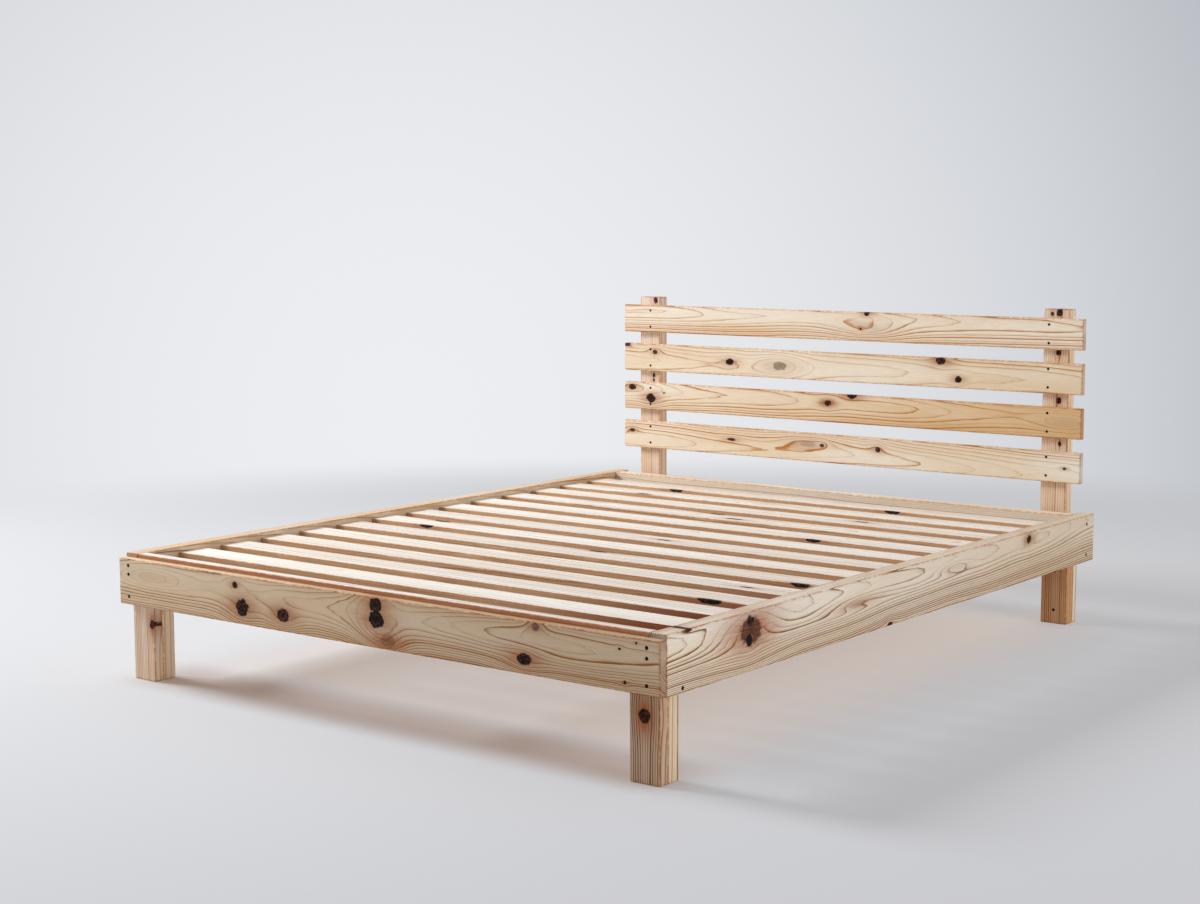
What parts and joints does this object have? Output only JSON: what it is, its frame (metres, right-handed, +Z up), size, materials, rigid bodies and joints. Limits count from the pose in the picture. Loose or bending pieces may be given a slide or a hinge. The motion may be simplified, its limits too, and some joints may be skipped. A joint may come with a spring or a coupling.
{
  "type": "toddler floor bed",
  "caption": "Low slatted pine floor bed with a foot board, thick side rails, square legs and a headboard of horizontal boards on two posts.",
  "frame": {"origin": "on the floor, in the middle of the bed's outline", "axes": "+Z up, +Y from the foot to the head, +X to the right as seen from the foot"},
  "size_m": [1.725, 2.181, 0.916],
  "materials": {
    "frame_pine": "planed knotty pine, clear",
    "deck_pine": "planed pine, bare",
    "dowel": "plain beech",
    "webbing": "woven cotton band",
    "dark_steel": "browned wood screws",
    "zinc_steel": "zinc plated"
  },
  "bodies": {
    "root": {"band_staples": "zinc_steel", "beam_hanger_foot": "zinc_steel", "beam_hanger_head": "zinc_steel", "bolt_nuts": "zinc_steel", "bolt_washers": "zinc_steel", "center_beam": "deck_pine", "center_leg": "deck_pine", "center_leg_dowels": "dowel", "foot_board": "frame_pine", "foot_board_screws": "dark_steel", "foot_rail": "frame_pine", "foot_rail_screws": "dark_steel", "hanger_screws": "zinc_steel", "head_post_left": "frame_pine", "head_post_right": "frame_pine", "head_rail": "frame_pine", "headboard_board_1": "frame_pine", "headboard_board_2": "frame_pine", "headboard_board_3": "frame_pine", "headboard_board_4": "frame_pine", "headboard_screws": "dark_steel", "ledger_screws": "dark_steel", "leg_inside_screws": "dark_steel", "leg_ply_screws": "dark_steel", "leg_rail_screws": "dark_steel", "leg_short_front_left": "frame_pine", "leg_short_front_right": "frame_pine", "leg_short_rear_left": "frame_pine", "leg_short_rear_right": "frame_pine", "leg_tall_front_left": "frame_pine", "leg_tall_front_right": "frame_pine", "leg_tall_rear_left": "frame_pine", "leg_tall_rear_right": "frame_pine", "post_bolts": "zinc_steel", "side_rail_left": "frame_pine", "side_rail_right": "frame_pine", "side_rail_screws": "dark_steel", "slat_01": "deck_pine", "slat_02": "deck_pine", "slat_03": "deck_pine", "slat_04": "deck_pine", "slat_05": "deck_pine", "slat_06": "deck_pine", "slat_07": "deck_pine", "slat_08": "deck_pine", "slat_09": "deck_pine", "slat_10": "deck_pine", "slat_11": "deck_pine", "slat_12": "deck_pine", "slat_13": "deck_pine", "slat_band_left": "webbing", "slat_band_right": "webbing", "slat_ledger_left": "deck_pine", "slat_ledger_right": "deck_pine"}
  },
  "joints": []
}
